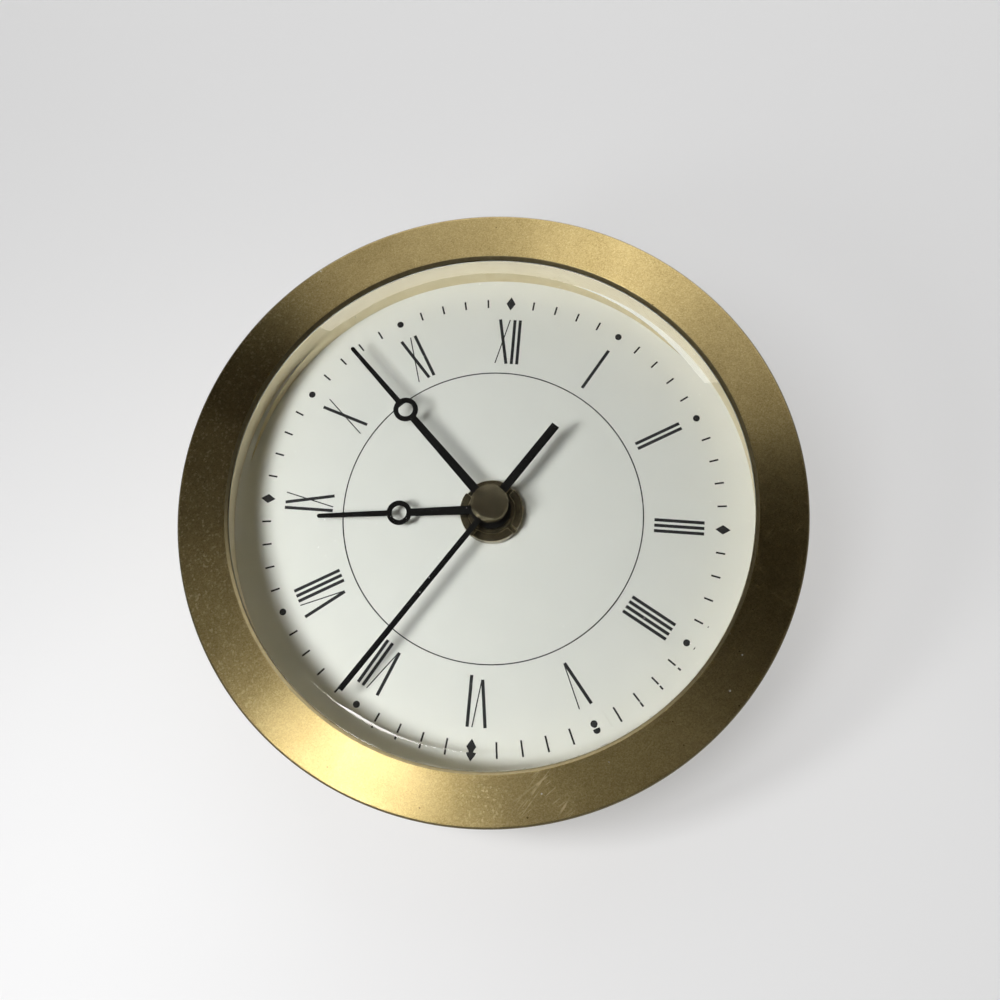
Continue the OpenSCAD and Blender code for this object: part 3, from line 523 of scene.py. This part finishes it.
lensSettings = {"steps": 256, "flat": 41.0, "bevel": 43.75, "flange": 45.8, "top": 10.2, "edge": 9.55,
                "shoulder": 8.9, "under": 8.2, "round": 0.05, "flatGuard": 0.4, "bevelGuard": 0.3,
                "flatDrop": 0.25, "cornerIn": 0.3, "smoothAngle": 12,
                "tint": (1.0, 1.0, 0.995, 1), "bend": 1.5, "polish": 0.01, "dustRough": 0.3,
                "dusting": {"Scale": 0.8, "Size": 0.09, "Share": 0.3},
                "clear": (0.93, 0.94, 0.93), "dim": (0.12, 0.12, 0.12),
                "clearRound": ((0.15, 1.1, 0.0), 42.25, 42.95)}  # middle, clear within, dim beyond


def makeLensGlass(name):
    s = lensSettings
    material, tree, shader, place = newFinish(name)
    dust = useGroup(tree, dustSpecks, place, **s["dusting"])
    rough = addSpread(tree, dust.outputs["Mask"], 0.0, 1.0, s["polish"], s["dustRough"])
    tree.links.new(rough, shader.inputs["Roughness"])
    shader.inputs["Base Color"].default_value = s["tint"]
    shader.inputs["Transmission Weight"].default_value = 1.0
    shader.inputs["IOR"].default_value = s["bend"]
    # light falls through to the dial without waiting for caustics
    path = tree.nodes.new("ShaderNodeLightPath")
    passing = addMath(tree, "MAXIMUM", path.outputs["Is Shadow Ray"], path.outputs["Is Diffuse Ray"])
    # the outer half of the ground bevel turns light aside and leaves a soft shade below it,
    # so only a circle, set a little off centre, lets all of it through
    through = addNear(tree, flatten(tree, place), *s["clearRound"])
    clear = tree.nodes.new("ShaderNodeBsdfTransparent")
    tree.links.new(addBlend(tree, through, s["dim"], s["clear"]), clear.inputs["Color"])
    blend = tree.nodes.new("ShaderNodeMixShader")
    tree.links.new(passing, blend.inputs[0])
    tree.links.new(shader.outputs[0], blend.inputs[1])
    tree.links.new(clear.outputs[0], blend.inputs[2])
    output = next(node for node in tree.nodes if node.type == "OUTPUT_MATERIAL")
    tree.links.new(blend.outputs[0], output.inputs["Surface"])
    return material


# the finishes of this clock

bezelBrass = makeSatinBrass("bezelBrass")
drumBrass = makeSatinBrass("drumBrass", alongAxis=True)
capBrass = makeTurnedBrass("capBrass", tone=(0.50, 0.44, 0.295), shade=(0.28, 0.24, 0.15), rough=0.18)
# the dark brass of the bezel's narrow slopes is painted shade
lipShadeBrass = makeTurnedBrass("lipShadeBrass", tone=(0.20, 0.165, 0.09), shade=(0.13, 0.105, 0.055), rough=0.36)
nutBrass = makeTurnedBrass("nutBrass", tone=(0.38, 0.325, 0.20), shade=(0.20, 0.165, 0.10), rough=0.18)
# the pale brass on the nut's broken edges is a painted highlight
edgeHighlightBrass = makeTurnedBrass("edgeHighlightBrass", tone=(0.78, 0.69, 0.47), shade=(0.60, 0.52, 0.34), rough=0.45)
ringGold = makePlainMetal("ringGold", tone=(0.83, 0.74, 0.52), shade=(0.76, 0.66, 0.43), rough=0.40,
                          metallic=0.7)
dialWhite = makePaint("dialWhite", tone=(0.80, 0.81, 0.77), shade=(0.775, 0.785, 0.745), rough=0.48,
                      grain=3.0, depth=0.0001, dust=0.05, dustTone=(0.42, 0.40, 0.36))
inkBlack = makePaint("inkBlack", tone=(0.012, 0.012, 0.013), shade=(0.022, 0.022, 0.024), rough=0.62,
                     grain=6.0, depth=0.002, dust=0.0, gloss=0.25)
handBlack = makePaint("handBlack", tone=(0.004, 0.004, 0.004), shade=(0.007, 0.007, 0.007), rough=0.7,
                      grain=6.0, depth=0.006, dust=0.0, dustTone=(0.02, 0.02, 0.02), gloss=0.06)
baseBlack = makePaint("baseBlack", tone=(0.032, 0.032, 0.034), shade=(0.050, 0.050, 0.050), rough=0.48,
                      grain=2.2, depth=0.02, dust=0.2)
footRubber = makePaint("footRubber", tone=(0.022, 0.022, 0.022), shade=(0.036, 0.036, 0.035), rough=0.74,
                       grain=3.0, depth=0.02, dust=0.4)
casePlastic = makePaint("casePlastic", tone=(0.085, 0.086, 0.090), shade=(0.105, 0.106, 0.110), rough=0.52,
                        grain=3.0, depth=0.015, dust=0.15)
gearPlastic = makePaint("gearPlastic", tone=(0.82, 0.82, 0.77), shade=(0.76, 0.76, 0.70), rough=0.4,
                        grain=4.0, depth=0.002, dust=0.0)
chipBlack = makePaint("chipBlack", tone=(0.018, 0.018, 0.019), shade=(0.026, 0.026, 0.027), rough=0.55,
                      grain=5.0, depth=0.006, dust=0.0)
boardGreen = makePaint("boardGreen", tone=(0.045, 0.21, 0.09), shade=(0.03, 0.15, 0.065), rough=0.32,
                       grain=5.0, depth=0.004, dust=0.1)
cellWrapper = makePaint("cellWrapper", tone=(0.10, 0.115, 0.14), shade=(0.13, 0.145, 0.175), rough=0.34,
                        grain=4.0, depth=0.002, dust=0.1)
screwSteel = makePlainMetal("screwSteel", tone=(0.62, 0.62, 0.61), shade=(0.50, 0.50, 0.49), rough=0.32)
magnetDark = makePlainMetal("magnetDark", tone=(0.13, 0.13, 0.14), shade=(0.09, 0.09, 0.095), rough=0.5)
copperWire = makePlainMetal("copperWire", tone=(0.62, 0.29, 0.14), shade=(0.50, 0.21, 0.09), rough=0.34)
crystalCan = makePlainMetal("crystalCan", tone=(0.72, 0.72, 0.71), shade=(0.62, 0.62, 0.62), rough=0.22)
lensGlass = makeLensGlass("lensGlass")
print("finishes ready")

slotFinish = {"satin_brass": drumBrass, "bright_brass": capBrass, "ring_gold": ringGold,
              "dial_white": dialWhite, "clear_lens": lensGlass, "black_hands": handBlack,
              "black_base": baseBlack, "black_rubber": footRubber, "plain_steel": screwSteel,
              "case_plastic": casePlastic, "gear_plastic": gearPlastic, "dark_magnet": magnetDark,
              "copper_wire": copperWire, "board_green": boardGreen, "chip_black": chipBlack,
              "crystal_can": crystalCan, "cell_wrapper": cellWrapper}


# bezel: one turned ring, lip inside and a narrow broken edge outside

bezelSettings = {"steps": 256, "soft": 0.07, "opening": 43.85, "lip": 44.35, "face": 52.2, "rim": 52.5,
                 "lipLow": 9.75, "lipTop": 10.2, "faceLow": 9.69, "rimTop": 9.42, "rimLow": 6.55,
                 "pocket": 47.3, "pocketTop": 8.9, "skirtIn": 48.55, "skirtOut": 49.75, "skirtLow": 3.55,
                 "guard": 0.3, "softAngle": 14, "smoothAngle": 40}


def makeBezel():
    s = bezelSettings
    slope = (s["lipTop"] - s["faceLow"]) / (s["face"] - s["lip"])
    profile = [(s["opening"], s["pocketTop"]), (s["opening"], s["lipLow"]), (s["lip"], s["lipTop"]),
               (s["lip"] + s["guard"], s["lipTop"] - s["guard"] * slope),
               (s["face"] - s["guard"], s["faceLow"] + s["guard"] * slope),
               (s["face"], s["faceLow"]), (s["rim"], s["rimTop"]),
               (s["rim"], s["rimLow"]), (s["skirtOut"], s["rimLow"]), (s["skirtOut"], s["skirtLow"]),
               (s["skirtIn"], s["skirtLow"]), (s["skirtIn"], s["rimLow"]), (s["pocket"], s["rimLow"]),
               (s["pocket"], s["pocketTop"]), (s["opening"], s["pocketTop"])]
    piece = turnRings("bezel_ring", profile, s["steps"])
    softenEdges(piece, s["soft"], angle=s["softAngle"])
    # the narrow slopes inside and outside the face are turned metal, not brushed, and painted dark as painted
    # shade: the shaded crease by the glass inside, the dark floor mirrored in the edge outside
    slopes = []
    for face in piece.data.polygons:
        radius = math.hypot(face.center.x, face.center.y)
        inside = radius < s["lip"] * mm and face.center.z > s["pocketTop"] * mm
        outside = radius > s["face"] * mm and face.center.z > (s["rimTop"] - s["soft"]) * mm
        if inside or outside:
            slopes.append(face.index)
    seatOnClock(piece)
    finishPiece(piece, "case", bezelBrass, "bezel", s["smoothAngle"])
    piece.data.materials.append(lipShadeBrass)
    for index in slopes:
        piece.data.polygons[index].material_index = 1


# lens: flat glass with a ground bevel that stops at a thin flange

def makeLens():
    s = lensSettings
    slope = (s["top"] - s["edge"]) / (s["bevel"] - s["flat"])
    pole = meshSettings["poleRing"]
    soft, near, far = s["round"], s["flatGuard"], s["bevelGuard"]
    drop = s["flatDrop"] * soft * slope
    corner = s["cornerIn"] * soft
    profile = [(pole, s["top"]), (s["flat"] / 2, s["top"]), (s["flat"] - near, s["top"]),
               (s["flat"] - soft, s["top"]), (s["flat"], s["top"] - drop),
               (s["flat"] + soft, s["top"] - soft * slope),
               (s["flat"] + near, s["top"] - near * slope), (s["bevel"] - far, s["edge"] + far * slope),
               (s["bevel"] - soft, s["edge"] + soft * slope), (s["bevel"] - corner, s["edge"] - corner),
               (s["bevel"], s["edge"] - soft), (s["bevel"], s["shoulder"]), (s["flange"], s["shoulder"]),
               (s["flange"], s["under"]), (s["flat"] / 2, s["under"]), (pole, s["under"])]
    piece = turnRings("dial_glass", profile, s["steps"], (s["top"], s["under"]))
    seatOnClock(piece)
    finishPiece(piece, "case", lensGlass, "lens", s["smoothAngle"])


# dial ring: the pale gold wall between the glass and the dial

ringSettings = {"steps": 192, "soft": 0.15, "inner": 44.0, "outer": 46.4, "top": 8.2, "low": 0.0}


def makeDialRing():
    s = ringSettings
    profile = [(s["inner"], s["low"]), (s["inner"], s["top"]), (s["outer"], s["top"]), (s["outer"], s["low"]),
               (s["inner"], s["low"])]
    piece = turnRings("reflector_ring", profile, s["steps"])
    softenEdges(piece, s["soft"])
    seatOnClock(piece)
    finishPiece(piece, "case", ringGold, "dial_ring")


# dial: a thin painted disc with a centre hole

dialSettings = {"steps": 192, "soft": 0.08, "hole": 4.1, "rings": (16.0, 32.0), "outer": 47.2,
                "top": 0.0, "under": -0.6}


def makeDial():
    s = dialSettings
    face = [(radius, s["top"]) for radius in (s["hole"], *s["rings"], s["outer"])]
    profile = [(s["hole"], s["under"]), *face, (s["outer"], s["under"]), (s["hole"], s["under"])]
    piece = turnRings("dial_disc", profile, s["steps"])
    softenEdges(piece, s["soft"])
    seatOnClock(piece)
    finishPiece(piece, "case", dialWhite, "dial")


# dial print: strokes, dots and diamonds laid flat at twelve o'clock and swung round to their hour

printSettings = {"low": 27.95, "high": 36.5, "apex": 28.6, "thick": 0.55, "thin": 0.19, "pitch": 0.97,
                 "vHalf": 1.1, "vGap": 0.12, "afterV": 0.8, "xThick": 1.7, "xThinTop": 1.8,
                 "xThinLow": -0.3, "afterX": 2.66, "nudge": {"VI": -0.5},
                 "markLow": 38.8, "markHigh": 40.4, "markWide": 0.31, "dot": 1.18, "dotAt": 39.65,
                 "diamondWide": 1.65, "diamondTall": 2.6, "circle": 26.1, "circleWide": 0.2, "film": 0.03,
                 "dotSteps": 24, "circleSteps": 192}
hourNumerals = ["XII", "I", "II", "III", "IIII", "V", "VI", "VII", "VIII", "IX", "X", "XI"]


def numeralStrokes(numeral):
    # each stroke is (x at the top, x at the bottom, bottom radius, width), read from left to right
    s = printSettings
    strokes = []
    cursor = 0.0
    for letter in numeral:
        if letter == "I":
            strokes.append((cursor, cursor, s["low"], s["thick"]))
            cursor += s["pitch"]
        elif letter == "V":
            foot = cursor + s["vHalf"]
            strokes.append((cursor, foot, s["apex"], s["thick"]))
            strokes.append((cursor + 2 * s["vHalf"], foot + s["vGap"], s["apex"], s["thin"]))
            cursor += 2 * s["vHalf"] + s["afterV"]
        else:
            strokes.append((cursor, cursor + s["xThick"], s["low"], s["thick"]))
            strokes.append((cursor + s["xThinTop"], cursor + s["xThinLow"], s["low"], s["thin"]))
            cursor += s["afterX"]
    ends = [x for stroke in strokes for x in stroke[:2]]
    middle = (min(ends) + max(ends)) / 2 - s["nudge"].get(numeral, 0.0)
    return [(top - middle, low - middle, lowAt, width) for top, low, lowAt, width in strokes]


def layStroke(top, low, highAt, lowAt, width, turn, parts):
    # a flat bar from its low end to its high end, swung clockwise by turn
    tall = highAt - lowAt
    slant = math.atan2(low - top, tall)
    middle = Matrix.Rotation(-turn, 3, "Z") @ Vector(((top + low) / 2, (highAt + lowAt) / 2, 0))
    clearSelection()
    bpy.ops.mesh.primitive_plane_add(size=1, location=middle * mm, rotation=(0, 0, slant - turn))
    bar = bpy.context.object
    bar.scale = (width * mm, math.hypot(top - low, tall) * mm, 1)
    parts.append(bar)


def layShape(corners, wide, tall, at, turn, parts):
    # a dot, or with four corners a diamond: one unit across, then scaled
    middle = Matrix.Rotation(-turn, 3, "Z") @ Vector((0, at, 0))
    clearSelection()
    bpy.ops.mesh.primitive_circle_add(vertices=corners, radius=0.5, fill_type="NGON", location=middle * mm,
                                      rotation=(0, 0, -turn))
    shape = bpy.context.object
    shape.scale = (wide * mm, tall * mm, 1)
    parts.append(shape)


def makeDialPrint():
    s = printSettings
    parts = []
    for hour, numeral in enumerate(hourNumerals):
        turn = math.radians(360 / 12 * hour)
        for top, low, lowAt, width in numeralStrokes(numeral):
            layStroke(top, low, s["high"], lowAt, width, turn, parts)
        if hour % 3 == 0:
            layShape(4, s["diamondWide"], s["diamondTall"], s["dotAt"], turn, parts)
        else:
            layShape(s["dotSteps"], s["dot"], s["dot"], s["dotAt"], turn, parts)
    for minute in range(60):
        if minute % 5:
            turn = math.radians(360 / 60 * minute)
            layStroke(0, 0, s["markHigh"], s["markLow"], s["markWide"], turn, parts)
    half = s["circleWide"] / 2
    circle = turnRings("dial_print", [(s["circle"] - half, 0.0), (s["circle"] + half, 0.0)], s["circleSteps"])
    if circle.data.polygons[0].normal.z < 0:
        bpy.ops.object.mode_set(mode="EDIT")
        bpy.ops.mesh.flip_normals()
        bpy.ops.object.mode_set(mode="OBJECT")
    clearSelection()
    for part in parts:
        part.select_set(True)
    circle.select_set(True)
    bpy.context.view_layer.objects.active = circle
    bpy.ops.object.join()
    bpy.ops.object.transform_apply(location=True, rotation=True, scale=True)
    film = circle.modifiers.new("film", "SOLIDIFY")
    film.thickness = s["film"] * mm
    film.offset = 1.0
    bpy.ops.object.modifier_apply(modifier=film.name)
    seatOnClock(circle)
    finishPiece(circle, "case", inkBlack)


# cap over the hands: turned brass with a shallow dished top

capSettings = {"steps": 96, "edge": 0.52, "fall": 0.13, "radius": 3.15, "top": 7.8, "dish": 0.07, "low": 5.9,
               "step": 0.35, "stepTall": 0.45, "stepSoft": 0.1, "bore": 0.6, "boreTop": 7.4,
               "bowl": [(0.5, 0.9), (0.88, 0.55)],  # rings of the dish, as shares of its radius and depth
               "round": [(0.09, 0.0), (0.025, 0.04), (0.0, 0.12)],  # in from the side, down from the edge
               "smoothAngle": 12}


def makeCap():
    s = capSettings
    pole = meshSettings["poleRing"]
    flat = s["radius"] - s["edge"]
    neck = s["radius"] - s["step"]
    edgeTop = s["top"] - s["fall"]
    stepTop = s["low"] + s["stepTall"]
    bowl = [(flat * out, s["top"] - s["dish"] * down) for out, down in s["bowl"]]
    shoulder = [(s["radius"] - inward, edgeTop - down) for inward, down in s["round"]]
    profile = [(pole, s["top"] - s["dish"]), *bowl, (flat, s["top"]), *shoulder,
               (s["radius"], stepTop + s["stepSoft"]), (s["radius"] - s["stepSoft"], stepTop),
               (neck, stepTop), (neck, s["low"]), (s["bore"], s["low"]),
               (s["bore"], s["boreTop"]), (pole, s["boreTop"])]
    piece = turnRings("hand_cap", profile, s["steps"], (s["top"] - s["dish"], s["boreTop"]))
    seatOnClock(piece)
    finishPiece(piece, "second_train", capBrass, "second_cap", s["smoothAngle"])


# pieces whose CAD shape is right: edges broken, then finished
# each node has its piece, body, slot, width of the broken edge in mm, and finish

dressSettings = {"hour_hand": ("hour_hand_leaf", "hour_train", "black_hands", 0.05, handBlack),
                 "minute_hand": ("minute_hand_leaf", "minute_train", "black_hands", 0.05, handBlack),
                 "second_hand": ("second_hand_leaf", "second_train", "black_hands", 0.05, handBlack),
                 "fixing_nut": ("slotted_nut", "case", "bright_brass", 0.16, nutBrass),
                 "fixing_washer": ("nut_washer", "case", "bright_brass", 0.06, nutBrass),
                 "drum_case": ("drum_shell", "case", "satin_brass", 0.18, drumBrass),
                 "base_plate": ("base_cover", "case", "black_base", 0.3, baseBlack),
                 "rubber_feet": ("foot_pads", "case", "black_rubber", 0.4, footRubber),
                 "base_screws": ("cover_screws", "case", "plain_steel", 0.08, screwSteel),
                 "setting_knob": ("setting_wheel", "setting_knob", "case_plastic", 0.12, casePlastic),
                 "movement_back": ("movement_cover", "case", "case_plastic", 0.15, casePlastic),
                 "battery": ("dry_cell", "case", "cell_wrapper", 0.15, cellWrapper)}
edgeSettings = {"segments": 3, "angle": 35, "highlightFrom": 0.2, "highlightTo": 0.98}


def paintEdgeHighlights(piece):
    # the broken edges, between flat and upright on the dial's axis, take a pale brass as a painted highlight
    piece.data.materials.append(edgeHighlightBrass)
    for face in piece.data.polygons:
        if edgeSettings["highlightFrom"] < abs(face.normal.dot(clockAxis)) < edgeSettings["highlightTo"]:
            face.material_index = 1


def dressNodes():
    for nodeName, (pieceName, body, slotName, soft, finish) in dressSettings.items():
        piece = copyNode(nodeName, pieceName)
        softenEdges(piece, soft, edgeSettings["segments"], edgeSettings["angle"])
        finishPiece(piece, body, finish, nodeName)
        if nodeName == "fixing_nut":
            paintEdgeHighlights(piece)
        print("dressed", pieceName, len(piece.data.polygons), "faces")


def coverNodes():
    # every CAD node that still shows takes its slot's finish
    slotOf = {row["node"]: row["material_slot"] for row in frame["record"]["subparts"]}
    for name, node in nodes.items():
        finish = slotFinish[slotOf[name]]
        if not node.data.materials:
            node.data.materials.append(finish)
        for slot in node.material_slots:
            slot.material = finish


coverNodes()
makeBezel()
makeLens()
makeDialRing()
makeDial()
print("face pieces made")
makeDialPrint()
makeCap()
print("print and cap made")
dressNodes()


# stage: pale floor, a window light from the front left with a small one beside it, a pale wall behind,
# and dimmer light from the left and the rear

stageSettings = {"floorSize": 6, "floor": (0.44, 0.44, 0.445), "floorLow": 0.985, "floorBlotch": 0.01,
                 "floorRough": 0.75, "pale": 0.40, "world": 0.018, "room": (1.0, 0.8, 0.58),
                 "skyFrom": 0.22, "skyTo": 0.30,
                 # azimuth and tilt in degrees, distance, width and height in m, power in W,
                 # then whether it reaches matt surfaces, gloss and views through glass
                 "lights": {"keyLight": (233, 19, 0.45, 0.11, 0.13, 0.94, True, True, False),
                            "sideLight": (238, 33, 0.16, 0.03, 0.04, 0.16, True, False, False),
                            "wallGlow": (8, 61, 0.9, 1.7, 0.6, 10.4, False, True, False),
                            "leftGlow": (282, 60, 0.9, 0.40, 0.5, 0.2, False, True, False),
                            "rearFill": (0, 92, 1.1, 1.4, 0.5, 7.0, True, True, True)}}


def addLight(name, azimuth, tilt, far, wide, tall, power, onMatt, onGloss, throughGlass):
    # azimuth is read clockwise from twelve on the dial, tilt is away from the dial's own axis
    turn, fall = math.radians(azimuth), math.radians(tilt)
    aim = Vector((math.sin(turn) * math.sin(fall), math.cos(turn) * math.sin(fall), math.cos(fall)))
    across = Vector((math.cos(turn), -math.sin(turn), 0))
    place = Matrix((across, aim.cross(across), aim)).transposed().to_4x4()
    place.translation = aim * far
    clearSelection()
    bpy.ops.object.light_add(type="AREA")
    light = bpy.context.object
    light.name = name
    light.data.shape = "RECTANGLE"
    light.data.size = wide
    light.data.size_y = tall
    light.data.energy = power
    light.visible_camera = False
    light.visible_diffuse = onMatt
    light.visible_glossy = onGloss
    light.visible_transmission = throughGlass
    light.matrix_world = clockFrame @ place


def addSeen(tree):
    path = tree.nodes.new("ShaderNodeLightPath")
    seen = addMath(tree, "MAXIMUM", path.outputs["Is Camera Ray"], path.outputs["Is Glossy Ray"])
    return addMath(tree, "MAXIMUM", seen, path.outputs["Is Transmission Ray"])


def makeStage():
    s = stageSettings
    clearSelection()
    bpy.ops.mesh.primitive_plane_add(size=s["floorSize"], location=(0, 0, 0))
    floor = bpy.context.object
    floor.name = "floor"
    material, tree, shader, place = newFinish("floorPale")
    blotch = useGroup(tree, softBlotch, place, Scale=s["floorBlotch"])
    low = tuple(value * s["floorLow"] for value in s["floor"])
    tree.links.new(addBlend(tree, blotch.outputs["Mask"], low, s["floor"]), shader.inputs["Base Color"])
    shader.inputs["Roughness"].default_value = s["floorRough"]
    # the floor and the foot of the sky are pale where they are seen or mirrored, and light nothing
    shader.inputs["Emission Color"].default_value = (1, 1, 1, 1)
    tree.links.new(addMath(tree, "MULTIPLY", addSeen(tree), s["pale"]), shader.inputs["Emission Strength"])
    floor.data.materials.append(material)
    world = bpy.data.worlds.new("room")
    world.use_nodes = True
    tree = world.node_tree
    space = tree.nodes.new("ShaderNodeTexCoord")
    parts = tree.nodes.new("ShaderNodeSeparateXYZ")
    tree.links.new(space.outputs["Generated"], parts.inputs[0])
    foot = addSpread(tree, parts.outputs["Z"], s["skyFrom"], s["skyTo"], 1.0, 0.0)
    foot = addMath(tree, "MULTIPLY", foot, addSeen(tree))
    tree.links.new(addBlend(tree, foot, s["room"], (1, 1, 1)), tree.nodes["Background"].inputs["Color"])
    tree.links.new(addSpread(tree, foot, 0.0, 1.0, s["world"], s["pale"]),
                   tree.nodes["Background"].inputs["Strength"])
    bpy.context.scene.world = world
    for name, values in s["lights"].items():
        addLight(name, *values)


# camera: place and aim in mm on the dial's axes

cameraSettings = {"place": (16.33, -48.48, 191.78), "aim": (1.08, 2.78, 0.0), "roll": -4.89, "lens": 41.04,
                  "sensor": 36, "near": 0.005}


def makeCamera():
    s = cameraSettings
    place = Vector(s["place"]) * mm
    ahead = (Vector(s["aim"]) * mm - place).normalized()
    roll = math.radians(s["roll"])
    right = ahead.cross(Vector((math.sin(roll), math.cos(roll), 0))).normalized()
    above = right.cross(ahead)
    view = Matrix((right, above, -ahead)).transposed().to_4x4()
    view.translation = place
    clearSelection()
    bpy.ops.object.camera_add()
    camera = bpy.context.object
    camera.data.lens = s["lens"]
    camera.data.sensor_width = s["sensor"]
    camera.data.clip_start = s["near"]
    camera.matrix_world = clockFrame @ view
    bpy.context.scene.camera = camera


makeStage()
makeCamera()
print("stage and camera set")
